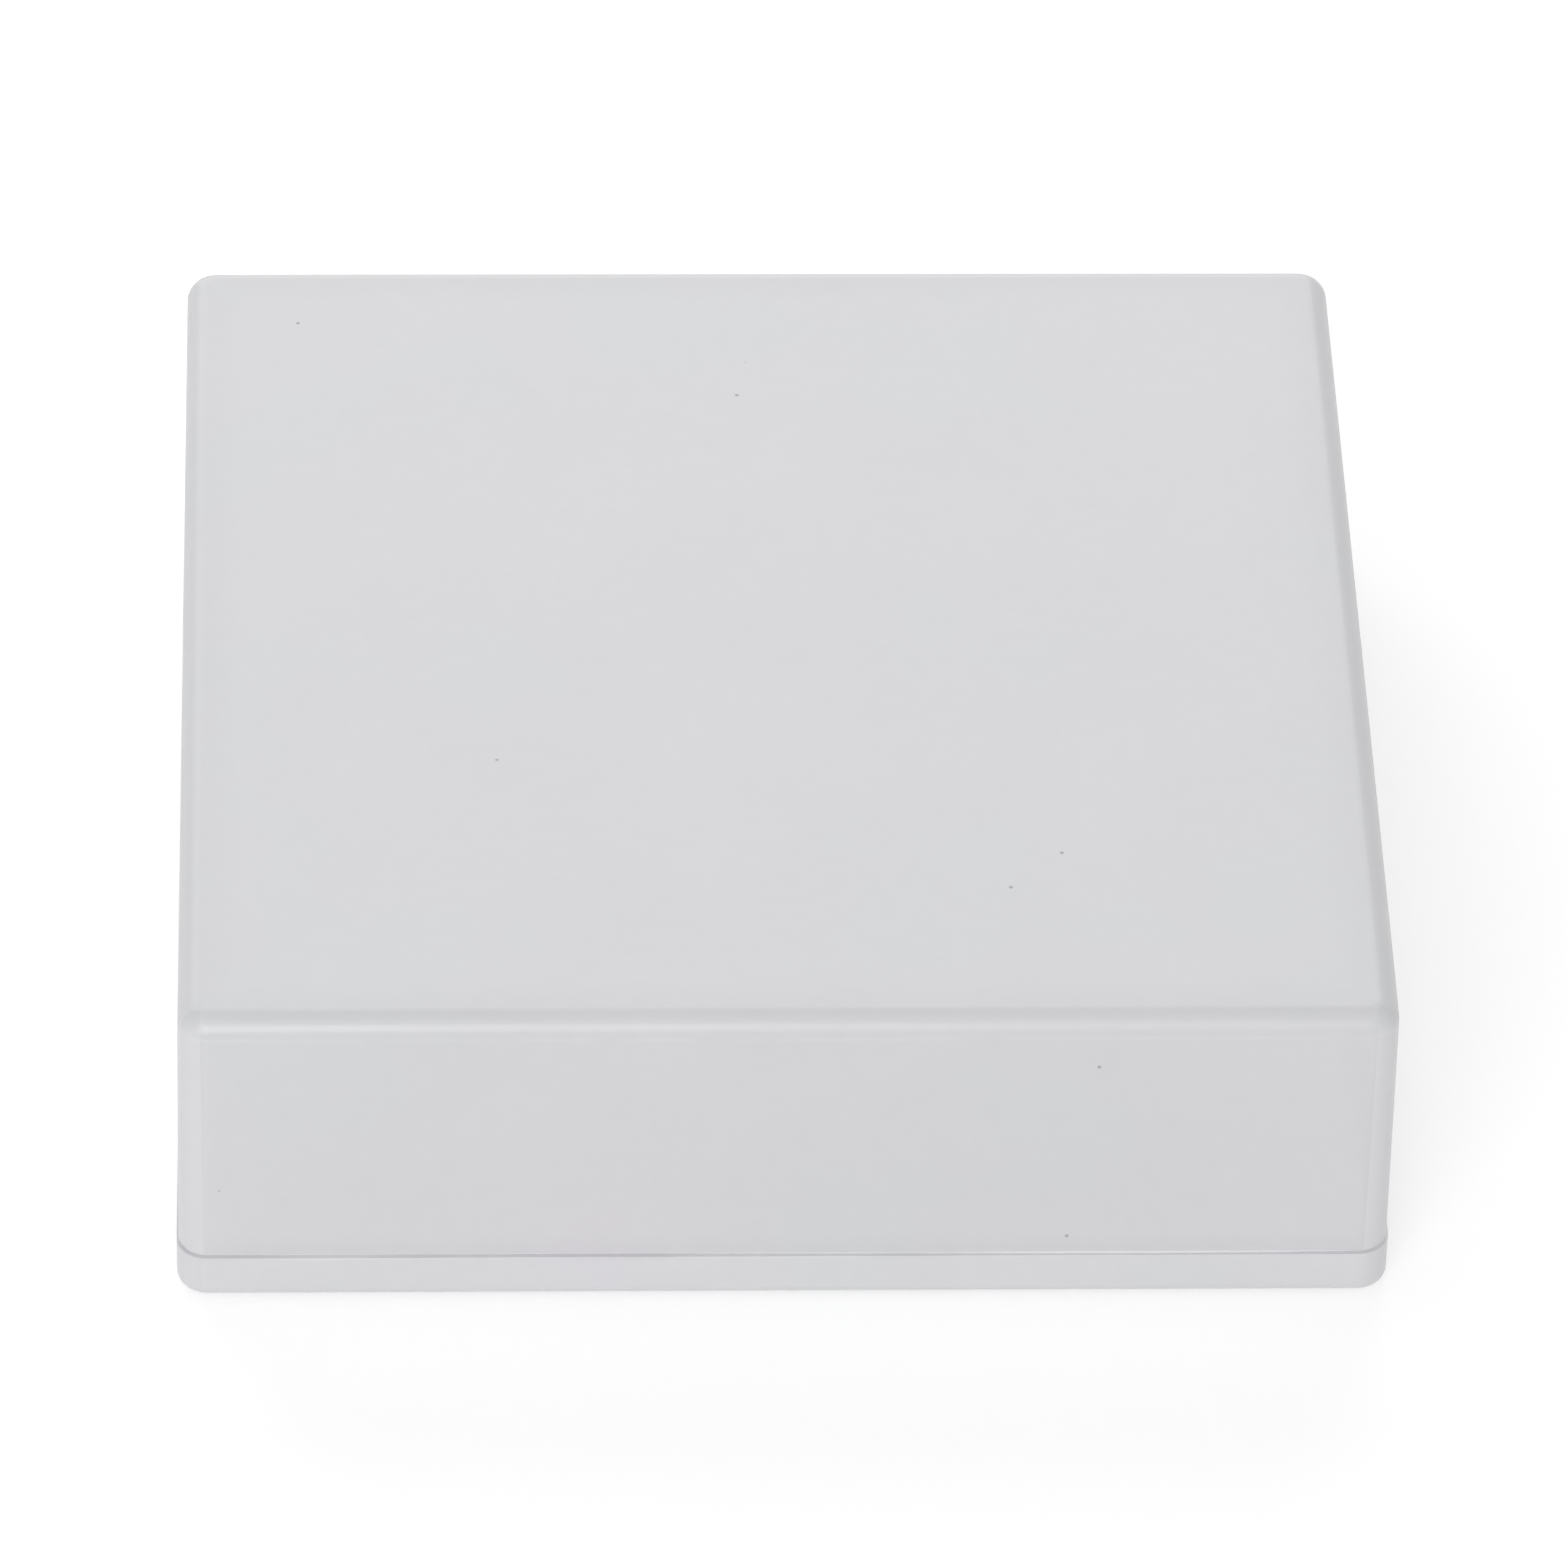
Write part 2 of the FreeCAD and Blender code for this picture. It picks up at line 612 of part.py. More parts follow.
# ---------------------------------------------------------------- LED boards and LEDs
def make_led_side(side, sign):
    """One LED board screwed to the outside of a flange, with six domed LEDs facing traffic."""
    board = box(f"{side}_led_panel", ("led_board_length", "led_board_thickness",
                                      "led_board_height"),
                ("0", f"{sign} * led_board_y"), "led_board_bottom")
    near = "spreader_width / 2" if sign > 0 else "-led_board_face"
    holes = []
    for end in (-1, 1):
        holes.append(cylinder(f"{side}_led_panel_hole_{len(holes) + 1}",
                              "small_screw_radius + fit_gap", "led_board_thickness",
                              (f"{end} * led_screw_x", near, "led_axis"), "y"))
    slot = box(f"{side}_led_panel_slot", ("pin_pitch + 2 * pin_size", "led_board_thickness",
                                          "2 * pin_size"),
               ("header_x", f"{sign} * led_board_y"), "pin_axis - pin_size")
    nodes.append(cut(f"{side}_led_board", board, holes + [slot]))

    leds = []
    for i in range(6):
        name = f"{side}_led_{i + 1}"
        x = f"({i} - 2.5) * led_pitch"
        package = box(name + "_package", ("led_size", "led_base_height", "led_size"),
                      (x, f"{sign} * (led_board_face + led_base_height / 2)"),
                      "led_axis - led_size / 2")
        dome = doc.addObject("Part::Sphere", name + "_dome")
        bind(dome, "Radius", "led_dome_radius")
        place(dome, x, f"{sign} * (led_board_face + led_base_height)", "led_axis")
        half_y = "led_board_face + led_base_height / 2 + led_size / 2"
        window = box(name + "_window", ("led_size", "led_size", "led_size"),
                     (x, f"{sign} * ({half_y})"), "led_axis - led_size / 2")
        lens = doc.addObject("Part::Common", name + "_lens")
        lens.Base = dome
        lens.Tool = window
        leds.append(fuse(name, [package, lens]))
    nodes.append(group(f"{side}_leds", leds))


def make_led_board_screws():
    screws = []
    for sign in (-1, 1):
        for end in (-1, 1):
            seat = f"{sign} * led_board_face"
            screws.append(socket_screw(
                f"led_board_screw_{len(screws) + 1}", f"{end} * led_screw_x", "led_axis", seat,
                sign, "y", "small_screw_radius", "small_head_radius", "small_head_height",
                "led_board_thickness + spreader_thickness"))
    nodes.append(group("led_board_screws", screws))


# ---------------------------------------------------------------- driver board
def driver_corners():
    """Centres of the driver board's four fixing holes."""
    return [(f"driver_x + {sign_x} * driver_hole_x", f"{sign_y} * driver_hole_y")
            for sign_x in (-1, 1) for sign_y in (-1, 1)]


def make_driver_board():
    board = box("driver_panel", ("driver_length", "driver_width", "driver_thickness"),
                ("driver_x", "0"), "driver_bottom")
    holes = [cylinder(f"driver_hole_{i + 1}", "small_screw_radius + fit_gap",
                      "driver_thickness", (x, y, "driver_bottom"))
             for i, (x, y) in enumerate(driver_corners())]
    nodes.append(cut("driver_board", board, holes))


def make_board_standoffs():
    """Tapped brass posts clinched into the web, and the screws that hold the board on them."""
    posts = []
    screws = []
    for i, (x, y) in enumerate(driver_corners()):
        barrel = cylinder(f"post_barrel_{i + 1}", "standoff_radius", "standoff_height",
                          (x, y, "web_top"))
        stub = cylinder(f"post_stub_{i + 1}", "standoff_stub_radius", "spreader_thickness",
                        (x, y, "web_bottom"))
        bore = cylinder(f"post_bore_{i + 1}", "small_screw_radius + thread_gap",
                        "standoff_height + spreader_thickness", (x, y, "web_bottom"))
        posts.append(cut(f"post_{i + 1}", fuse(f"post_blank_{i + 1}", [barrel, stub]), [bore]))
        screws.append(socket_screw(f"board_screw_{i + 1}", x, y, "driver_top", 1, "z",
                                   "small_screw_radius", "small_head_radius",
                                   "small_head_height", "driver_thickness + standoff_height"))
    nodes.append(group("board_standoffs", posts))
    nodes.append(group("board_screws", screws))


def make_header(side, sign):
    """Right-angle two-pin header that feeds one LED board through the flange."""
    block = box(f"{side}_header_block", ("header_length", "header_body", "header_body"),
                ("header_x", f"{sign} * header_y"), "driver_top")
    pins = []
    for end in (-1, 1):
        x = f"header_x + {end} * pin_pitch / 2"
        y = f"{sign} * (header_y + pin_length / 2)"
        pins.append(box(f"{side}_header_pin_{len(pins) + 1}",
                        ("pin_size", "pin_length", "pin_size"), (x, y), "pin_axis - pin_size / 2"))
    nodes.append(fuse(f"{side}_header", [block] + pins))


# ---------------------------------------------------------------- driver components
def make_filter_capacitors():
    """Two electrolytic cans on moulded feet, side by side across the board."""
    cans = []
    for sign in (-1, 1):
        spot = f"{len(cans) + 1}"
        x = "driver_end + capacitor_place"
        y = f"{sign} * (capacitor_radius + capacitor_gap / 2)"
        can = cylinder("can_" + spot, "capacitor_radius - fit_gap",
                       "capacitor_height", (x, y, "driver_top"))
        foot = box("can_foot_" + spot, ("2 * capacitor_radius", "2 * capacitor_radius",
                                          "capacitor_foot_height"),
                   (x, y), "driver_top")
        cans.append(fuse("capacitor_" + spot, [foot, can]))
    nodes.append(group("filter_capacitors", cans))


def make_surge_varistor():
    """Disc varistor on edge, standing on two short wire leads."""
    x = "driver_end + varistor_place"
    disc = cylinder("varistor_disc", "varistor_radius", "varistor_thickness",
                    (f"{x} - varistor_thickness / 2", "0",
                     "driver_top + varistor_lift + varistor_radius"), "x")
    leads = [cylinder(f"varistor_lead_{i + 1}", "pin_size / 2", "varistor_radius",
                      (x, f"{sign} * varistor_radius / 2", "driver_top"))
             for i, sign in enumerate((-1, 1))]
    nodes.append(fuse("surge_varistor", [disc] + leads))


def make_driver_inductor():
    """Shielded power inductor: a square ferrite base with a round drum core proud of it."""
    x = "driver_end + inductor_place"
    base = box("inductor_shield", ("inductor_size", "inductor_size", "inductor_shield_height"),
               (x, "0"), "driver_top")
    core = cylinder("inductor_core", "inductor_core_radius", "inductor_height",
                    (x, "0", "driver_top"))
    nodes.append(fuse("driver_inductor", [base, core]))


def make_leaded_package(name, x, y, length, width, height, leads_per_side):
    """A moulded package with flat leads along both of its long sides."""
    package = box(name + "_package", (width, length, height), (x, y), "driver_top + package_standoff")
    leads = []
    pitch = f"({length}) / {leads_per_side}"
    for side in (-1, 1):
        for i in range(leads_per_side):
            spot_y = f"{y} + ({i} - {(leads_per_side - 1) / 2}) * {pitch}"
            spot_x = f"{x} + {side} * (({width}) / 2 + (lead_reach - lead_tuck) / 2)"
            leads.append(box(f"{name}_lead_{len(leads) + 1}",
                             ("lead_reach + lead_tuck", f"lead_fill * {pitch}", "lead_height"),
                             (spot_x, spot_y), "driver_top"))
    nodes.append(fuse(name, [package] + leads))


def make_terminal_block():
    """Two-way screw terminal for the supply cable, its mouths facing the inlet."""
    x = "driver_x + driver_length / 2 - terminal_length / 2 - fit_gap"
    block = box("terminal_moulding", ("terminal_length", "terminal_width", "terminal_height"),
                (x, "0"), "driver_top")
    tools = []
    screws = []
    for sign in (-1, 1):
        spot = f"{len(screws) + 1}"
        y = f"{sign} * terminal_pitch / 2"
        mouth_z = "driver_top + 2 * terminal_mouth_radius"
        tools.append(cylinder("terminal_mouth_" + spot, "terminal_mouth_radius",
                              "terminal_length / 2", (x, y, mouth_z), "x"))
        tools.append(cylinder("terminal_well_" + spot, "terminal_screw_radius + fit_gap",
                              "terminal_well_depth", (x, y, "terminal_seat")))
        head = cylinder("terminal_screw_head_" + spot, "terminal_screw_radius",
                        "terminal_screw_height", (x, y, "terminal_seat"))
        slot = box("terminal_screw_slot_" + spot,
                   ("terminal_slot_width", "2 * terminal_screw_radius", "terminal_slot_depth"),
                   (x, y), "terminal_seat + terminal_screw_height - terminal_slot_depth")
        screws.append(cut("terminal_screw_" + spot, head, [slot]))
    nodes.append(cut("terminal_block", block, tools))
    nodes.append(group("terminal_screws", screws))


# ---------------------------------------------------------------- cable inlet
def make_gland():
    """Brass gland sunk flush into the road face, with its seal, locknut, grommet and cap."""
    def ring(name, outer, inner, bottom, height):
        disc = cylinder(name + "_disc", outer, height, ("gland_x", "0", bottom))
        hole = cylinder(name + "_hole", inner, height, ("gland_x", "0", bottom))
        return cut(name, disc, [hole])

    flange = cylinder("gland_flange", "gland_flange_radius", "gland_flange_height",
                      ("gland_x", "0", "head_recess"))
    tube = cylinder("gland_tube", "gland_radius", "gland_top - head_recess",
                    ("gland_x", "0", "head_recess"))
    throat = cylinder("gland_throat", "cable_radius + gland_throat_gap", "gland_top",
                      ("gland_x", "0", "0"))
    seat = cylinder("gland_seat", "gland_seat_radius", "cable_seal_length",
                    ("gland_x", "0", "cable_seal_bottom"))
    nodes.append(cut("gland_body", fuse("gland_blank", [flange, tube]), [throat, seat]))

    nodes.append(ring("gland_seal", "gland_flange_radius", "gland_radius",
                      "head_recess + gland_flange_height", "gland_seal_thickness"))
    nodes.append(ring("cable_seal", "gland_seat_radius", "cable_radius", "cable_seal_bottom",
                      "cable_seal_length"))

    nut = hexagon("locknut_blank", "locknut_corner_radius", "locknut_height",
                  ("gland_x", "0", "spigot_top"))
    nut_bore = cylinder("locknut_bore", "gland_radius + thread_gap", "locknut_height",
                        ("gland_x", "0", "spigot_top"))
    nodes.append(cut("gland_locknut", nut, [nut_bore]))

    cap_bottom = "gland_cap_top - gland_cap_height"
    cap = cylinder("gland_cap_blank", "gland_cap_radius", "gland_cap_height",
                   ("gland_x", "0", cap_bottom))
    cap_thread = cylinder("gland_cap_thread", "gland_radius + thread_gap",
                          "gland_cap_height - gland_cap_roof", ("gland_x", "0", cap_bottom))
    cap_hole = cylinder("gland_cap_hole", "cable_radius + gland_throat_gap",
                        "gland_cap_height", ("gland_x", "0", cap_bottom))
    nodes.append(cut("gland_cap", cap, [cap_thread, cap_hole]))


make_housing()
make_base_plate()
make_housing_gasket()
make_housing_screws()
make_reflector_plate()
make_heat_spreader()
make_spreader_screws()
make_roof_pads()
for side, sign in (("front", -1), ("rear", 1)):
    make_led_side(side, sign)
    make_header(side, sign)
make_led_board_screws()
make_driver_board()
make_board_standoffs()
make_filter_capacitors()
make_surge_varistor()
make_driver_inductor()
make_leaded_package("bridge_rectifier", "driver_end + package_place", "-package_offset",
                    "rectifier_length", "rectifier_width", "rectifier_height", 2)
make_leaded_package("driver_chip", "driver_end + package_place", "package_offset",
                    "chip_length", "chip_width", "chip_height", 4)
make_terminal_block()
make_gland()
doc.recompute()

# ---------------------------------------------------------------- checks and files
for obj in doc.Objects:
    if "Invalid" in obj.State or "Error" in obj.State:
        raise RuntimeError(f"{obj.Name} failed to compute: {obj.State}")
for node in nodes:
    node.Label = node.Name
    if node.Shape.isNull() or not node.Shape.isValid():
        raise RuntimeError(f"{node.Label} has no valid shape")

os.makedirs("parts", exist_ok=True)
for node in nodes:
    node.Shape.exportStep(f"parts/{node.Label}.step")
    print(node.Label, len(node.Shape.Solids), "solids", round(node.Shape.Volume, 2), "mm3")
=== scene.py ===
import math

import bpy
from mathutils import Matrix, Vector


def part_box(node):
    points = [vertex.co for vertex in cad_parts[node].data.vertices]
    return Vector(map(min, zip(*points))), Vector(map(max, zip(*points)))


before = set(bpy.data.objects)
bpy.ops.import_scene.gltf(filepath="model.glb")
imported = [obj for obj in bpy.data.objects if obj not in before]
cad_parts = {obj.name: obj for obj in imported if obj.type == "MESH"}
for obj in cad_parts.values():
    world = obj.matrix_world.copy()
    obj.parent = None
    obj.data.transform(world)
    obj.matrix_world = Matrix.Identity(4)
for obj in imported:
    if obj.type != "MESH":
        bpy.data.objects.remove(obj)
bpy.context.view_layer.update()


# ---- Camera
# Stands a metre off the front face, 40 degrees above the road and a little to the left,
# with a long lens, and leans slightly about its own axis.
MM = 0.001
azimuth = math.radians(-2.7)
elevation = math.radians(40.5)
tilt = math.radians(1.6)
aim_point = Vector((1.25, 0.0, 12.9)) * MM
camera_distance = 1018 * MM

turn = Matrix.Rotation(azimuth, 4, "Z") @ Matrix.Rotation(math.pi / 2 - elevation, 4, "X")
turn = turn @ Matrix.Rotation(tilt, 4, "Z")
lens = bpy.data.cameras.new("camera")
lens.sensor_width = 36.0
lens.lens = 274.8
lens.clip_end = 50.0
camera = bpy.data.objects.new("camera", lens)
camera.matrix_world = Matrix.Translation(aim_point + turn @ Vector((0, 0, camera_distance))) @ turn
bpy.context.scene.collection.objects.link(camera)
bpy.context.scene.camera = camera


# ---- Studio
# A sheet of white backdrop paper that fades to plain white, under two wide soft boxes, one
# behind the marker and one further off in front, with a surround that fills the other sides.
def linear(hex_colour):
    """An sRGB colour such as "#d8d9db" as linear red, green, blue and 1."""
    parts = [int(hex_colour[i:i + 2], 16) / 255 for i in (1, 3, 5)]
    return [p / 12.92 if p <= 0.04045 else ((p + 0.055) / 1.055) ** 2.4 for p in parts] + [1.0]


def add(tree, kind, inputs=None, **settings):
    """Adds one node: settings are its own properties, and inputs are values or other sockets."""
    node = tree.nodes.new(kind)
    for name, value in settings.items():
        setattr(node, name, value)
    for name, value in (inputs or {}).items():
        if isinstance(value, bpy.types.NodeSocket):
            tree.links.new(value, node.inputs[name])
        else:
            node.inputs[name].default_value = value
    return node


def sums(tree, operation, *values):
    """Joins two or more numbers with one arithmetic operation, left to right."""
    total = values[0]
    for value in values[1:]:
        total = add(tree, "ShaderNodeMath", {0: total, 1: value}, operation=operation).outputs[0]
    return total


def ramp(tree, value, start, end, low=0.0, high=1.0):
    """Goes smoothly from `low` to `high` while the value goes from `start` to `end`."""
    return add(tree, "ShaderNodeMapRange", {0: value, 1: start, 2: end, 3: low, 4: high},
               interpolation_type="SMOOTHSTEP").outputs[0]


def shown_rays(tree):
    """1 for what the camera sees straight, in a gloss or through a clear part."""
    path = add(tree, "ShaderNodeLightPath").outputs
    return sums(tree, "MAXIMUM", path["Is Camera Ray"], path["Is Glossy Ray"],
                path["Is Transmission Ray"])


scene = bpy.context.scene
scene.view_settings.view_transform = "Standard"

horizon_strength, zenith_strength = 0.88, 0.33
world = bpy.data.worlds.new("studio")
world.use_nodes = True
scene.world = world
tree = world.node_tree
tree.nodes.clear()
outward = add(tree, "ShaderNodeTexCoord")
height = add(tree, "ShaderNodeSeparateXYZ", {0: outward.outputs["Generated"]})
fade = add(tree, "ShaderNodeMapRange", {0: height.outputs["Z"], 3: horizon_strength,
                                        4: zenith_strength})
surround = add(tree, "ShaderNodeBackground", {"Color": (1, 1, 1, 1), "Strength": fade.outputs[0]})
white = add(tree, "ShaderNodeBackground", {"Color": (1, 1, 1, 1), "Strength": 1.0})
shown = add(tree, "ShaderNodeMixShader", {0: shown_rays(tree), 1: surround.outputs[0],
                                          2: white.outputs[0]})
add(tree, "ShaderNodeOutputWorld", {"Surface": shown.outputs[0]})

floor_mesh = bpy.data.meshes.new("floor")
reach = 4.0
corners = [(-reach, -reach, 0), (reach, -reach, 0), (reach, reach, 0), (-reach, reach, 0)]
floor_mesh.from_pydata(corners, [], [(0, 1, 2, 3)])
floor = bpy.data.objects.new("floor", floor_mesh)
floor_drop = 0.05 * MM
floor.location.z = -floor_drop
scene.collection.objects.link(floor)
paper = bpy.data.materials.new("white_backdrop_paper")
paper.use_nodes = True
tree = paper.node_tree
tree.nodes.clear()
paper_glow = 0.30
fade_start, fade_end = 0.10, 0.26
shown = shown_rays(tree)
glow = add(tree, "ShaderNodeEmission", {
    "Color": (1, 1, 1, 1), "Strength": sums(tree, "MULTIPLY", shown, paper_glow)})
matt = add(tree, "ShaderNodeBsdfDiffuse", {"Color": linear("#fafafa")})
near = add(tree, "ShaderNodeAddShader", {0: glow.outputs[0], 1: matt.outputs[0]})
plain = add(tree, "ShaderNodeEmission", {"Color": (1, 1, 1, 1), "Strength": 1.0})
spot = add(tree, "ShaderNodeTexCoord")
away = add(tree, "ShaderNodeVectorMath", {0: spot.outputs["Object"]}, operation="LENGTH")
fade = sums(tree, "MULTIPLY", ramp(tree, away.outputs["Value"], fade_start, fade_end), shown)
both = add(tree, "ShaderNodeMixShader", {0: fade, 1: near.outputs[0], 2: plain.outputs[0]})
add(tree, "ShaderNodeOutputMaterial", {"Surface": both.outputs[0]})
floor_mesh.materials.append(paper)

for name, place, size, power in (("soft_box", (-0.06, 0.55, 0.40), 0.70, 1.8),
                                 ("fill_box", (-0.26, -0.90, 0.45), 0.60, 3.5)):
    light = bpy.data.lights.new(name, "AREA")
    light.shape = "SQUARE"
    light.size = size
    light.energy = power
    lamp = bpy.data.objects.new(name, light)
    lamp.location = place
    lamp.rotation_euler = Vector(place).to_track_quat("Z", "Y").to_euler()
    scene.collection.objects.link(lamp)


# ---- Housing
# The cover is injection-moulded milky polycarbonate with thin walls under a thicker roof.
# Four screws pull it down on the base plate from below, so its outside is unbroken.
def new_material(name):
    """A material with an empty node tree, and the place of each point in the marker's frame."""
    material = bpy.data.materials.new(name)
    material.use_nodes = True
    material.node_tree.nodes.clear()
    place = add(material.node_tree, "ShaderNodeTexCoord")
    return material, material.node_tree, place.outputs["Object"]


def dress(material, *names):
    """Gives CAD nodes one material."""
    for name in names:
        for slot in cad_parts[name].material_slots:
            slot.link = "OBJECT"
            slot.material = material


def blotches(tree, place, size, low, high, detail=2.0):
    """Soft patches about `size` metres across, as a number from `low` to `high`."""
    cloud = add(tree, "ShaderNodeTexNoise", {"Vector": place, "Scale": 1 / size, "Detail": detail})
    return ramp(tree, cloud.outputs[0], 0.25, 0.75, low, high)


def blend(tree, share, first, second):
    """Goes from one colour to another by a share, where each is a colour or a socket."""
    mixed = add(tree, "ShaderNodeMix", {0: share, 6: first, 7: second}, data_type="RGBA")
    return mixed.outputs[2]


edge_radius = 1.9 * MM
# Depths of the painted shade on the roof rim and at the wall corners.
roof_shade, corner_shade = 0.03, 0.065
grain_pitch = 8 * MM
# Width and strength of the painted highlight along the round edge.
glint_core, glint_edge, glint_brightness = 0.08 * MM, 0.30 * MM, 0.045
joint_core, joint_edge, joint_variation = 0.24 * MM, 0.32 * MM, 0.12
roof_skin = 1.2 * MM
shell_glow = 0.6

# The gasket lies against the inside of the walls, so its rim is where the chamber begins.
outer_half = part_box("housing")[1][1]
inner_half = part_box("housing_gasket")[1][1]
wall = outer_half - inner_half
housing_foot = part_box("housing")[0][2]
housing_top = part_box("housing")[1][2]


def milky_plastic(name, clearness, inner_clearness, painted_backing_shade, joint_glow):
    """Milky polycarbonate moulded in a satin-polished steel cavity: pale, soft and close."""
    material, tree, place = new_material(name)
    axes = add(tree, "ShaderNodeSeparateXYZ", {0: place}).outputs
    across = sums(tree, "ABSOLUTE", axes["X"], 0.0)
    along = sums(tree, "ABSOLUTE", axes["Y"], 0.0)
    rim = sums(tree, "MAXIMUM", across, along)
    normal = add(tree, "ShaderNodeNewGeometry").outputs["Normal"]
    lean = add(tree, "ShaderNodeSeparateXYZ", {0: normal}).outputs["Z"]
    level = ramp(tree, sums(tree, "ABSOLUTE", lean, 0.0), 0.25, 0.8)
    upright = sums(tree, "SUBTRACT", 1.0, level)

    # Flow marks from the mould: lavender and blue-green tints in wide, weak patches.
    tint = blend(tree, blotches(tree, place, 26 * MM, 0.0, 1.0, 3.0), linear("#dfdde1"),
                 linear("#dcdedf"))
    tint = blend(tree, blotches(tree, place, 7 * MM, 0.0, 0.5), tint, linear("#dfdee1"))

    # Painted shade darkens the colour where plastic is backed by more plastic, which looks a little
    # darker
    #  than plastic over air: the rim of the roof, above the walls, the end of each wall, in front
    #      of
    #  the next one, and all of the base plate, which is solid.
    painted_roof_rim_shade = sums(tree, "MULTIPLY", level, ramp(tree, rim, inner_half - 2 * wall, inner_half))
    painted_roof_rim_shade = sums(tree, "MULTIPLY", painted_roof_rim_shade, roof_shade)
    painted_corner_shade = ramp(tree, sums(tree, "MINIMUM", across, along), inner_half - wall / 8, inner_half,
                  0.0, corner_shade)
    shade = sums(tree, "SUBTRACT", blotches(tree, place, 1.6 * MM, 0.994, 1.006),
                 sums(tree, "MAXIMUM", painted_roof_rim_shade, painted_corner_shade, painted_backing_shade))

    # Dust caught in the melt, a grain in every 8 mm of plastic, of which few reach the skin.
    grains = add(tree, "ShaderNodeTexVoronoi", {"Vector": place, "Scale": 1 / grain_pitch})
    speck = ramp(tree, grains.outputs["Distance"], 0.012, 0.030, 0.55, 1.0)
    shade = sums(tree, "MULTIPLY", shade, speck)

    # Painted highlight: the round edge is painted pale where it runs out into the wall, in short
    # broken strokes, in place of a glint.
    run_out = sums(tree, "SUBTRACT", axes["Z"], housing_top - edge_radius)
    run_out = sums(tree, "ABSOLUTE", run_out, 0.0)
    painted_glint_line = ramp(tree, run_out, glint_core, glint_edge, glint_brightness, 0.0)
    painted_glint = sums(tree, "MULTIPLY", painted_glint_line, blotches(tree, place, 5 * MM, 0.0, 1.0), upright)
    shade = sums(tree, "ADD", shade, painted_glint)

    # Painted light makes the colour along the joint line paler, in place of light that the milky
    # plastic carries into it. The housing's chamfer
    #  faces down and needs most of it, and the base plate's faces up, in patches with greyer
    #  lengths.
    painted_joint_light = sums(tree, "ABSOLUTE", sums(tree, "SUBTRACT", axes["Z"], housing_foot), 0.0)
    painted_joint_light = ramp(tree, painted_joint_light, joint_core, joint_edge, 1.0, 0.0)
    patches = blotches(tree, place, 16 * MM, joint_glow - joint_variation, joint_glow, 3.0)
    shade = sums(tree, "ADD", shade, sums(tree, "MULTIPLY", painted_joint_light, patches))
    colour = add(tree, "ShaderNodeVectorMath", {0: tint, "Scale": shade}, operation="SCALE")

    # Satin polish with a slight orange peel, about 3 mm from dimple to dimple.
    peel = add(tree, "ShaderNodeTexNoise", {"Vector": place, "Scale": 1 / (3 * MM), "Detail": 2.0})
    relief = add(tree, "ShaderNodeBump", {"Height": peel.outputs[0], "Strength": 0.15,
                                          "Distance": 0.05 * MM})
    body = add(tree, "ShaderNodeBsdfPrincipled", {
        "Base Color": colour.outputs[0], "IOR": 1.585, "Normal": relief.outputs[0],
        "Roughness": blotches(tree, place, 9 * MM, 0.30, 0.34)})

    # The walls show a trace of what is behind them, and the whole shell lets light in, so the
    # chamber glows and the shadow is weak. The housing's inner faces pass on nearly all of what
    # its outer ones let by, and the base plate's faces show nothing.
    outside = ramp(tree, rim, inner_half + wall * 0.35, inner_half + wall * 0.45)
    outside = sums(tree, "MAXIMUM", outside, ramp(tree, axes["Z"], housing_top - 1.5 * MM,
                                                  housing_top - roof_skin))
    hollow = ramp(tree, sums(tree, "MINIMUM", across, along), inner_half - wall / 8, inner_half,
                  clearness, 0.0)
    seen = sums(tree, "MULTIPLY", upright, hollow)
    rays = add(tree, "ShaderNodeLightPath").outputs
    lit = sums(tree, "MULTIPLY", rays["Is Shadow Ray"], shell_glow)
    skin = sums(tree, "MAXIMUM", seen, lit)
    passed_on = ramp(tree, outside, 0.0, 1.0, inner_clearness, 0.0)
    through_share = sums(tree, "MAXIMUM", skin, passed_on)
    through = add(tree, "ShaderNodeBsdfTransparent", {"Color": (1, 1, 1, 1)})
    both = add(tree, "ShaderNodeMixShader", {0: through_share, 1: body.outputs[0],
                                             2: through.outputs[0]})
    add(tree, "ShaderNodeOutputMaterial", {"Surface": both.outputs[0]})
    return material


dress(milky_plastic("milky_satin_polycarbonate", 0.13, 0.90, 0.0, 0.33), "housing")


# ---- Base plate
# The same plastic, moulded as a plate thick enough to hide what is behind it, with a
# spigot that the housing drops over. Its grooved underside is bonded to the road.
def speckled(name, pale, dark, grain, roughness, metallic=0.0, relief=0.0, stretch=(1, 1, 1)):
    """Two close colours in grains of `grain` mm, with a relief `relief` mm deep, half as coarse."""
    material, tree, place = new_material(name)
    drawn = add(tree, "ShaderNodeVectorMath", {0: place, 1: stretch}, operation="MULTIPLY")
    drawn = drawn.outputs[0]
    patches = blotches(tree, drawn, grain * MM, 0.0, 1.0, 3.0)
    colour = blend(tree, patches, linear(pale), linear(dark))
    fine = add(tree, "ShaderNodeTexNoise", {"Vector": drawn, "Scale": 2 / (grain * MM)})
    bump = add(tree, "ShaderNodeBump", {"Height": fine.outputs[0], "Strength": 0.4,
                                        "Distance": relief * MM})
    body = add(tree, "ShaderNodeBsdfPrincipled", {
        "Base Color": colour, "Metallic": metallic, "Normal": bump.outputs[0],
        "Roughness": blotches(tree, drawn, grain * 2 * MM, roughness - 0.06, roughness + 0.06)})
    add(tree, "ShaderNodeOutputMaterial", {"Surface": body.outputs[0]})
    return material


# Moulded and left as it came: the housing's colour and satin, darkened all over by painted shade,
# but nothing shows through.
dress(milky_plastic("milky_moulded_polycarbonate", 0.0, 0.0, 0.05, 0.06), "base_plate")


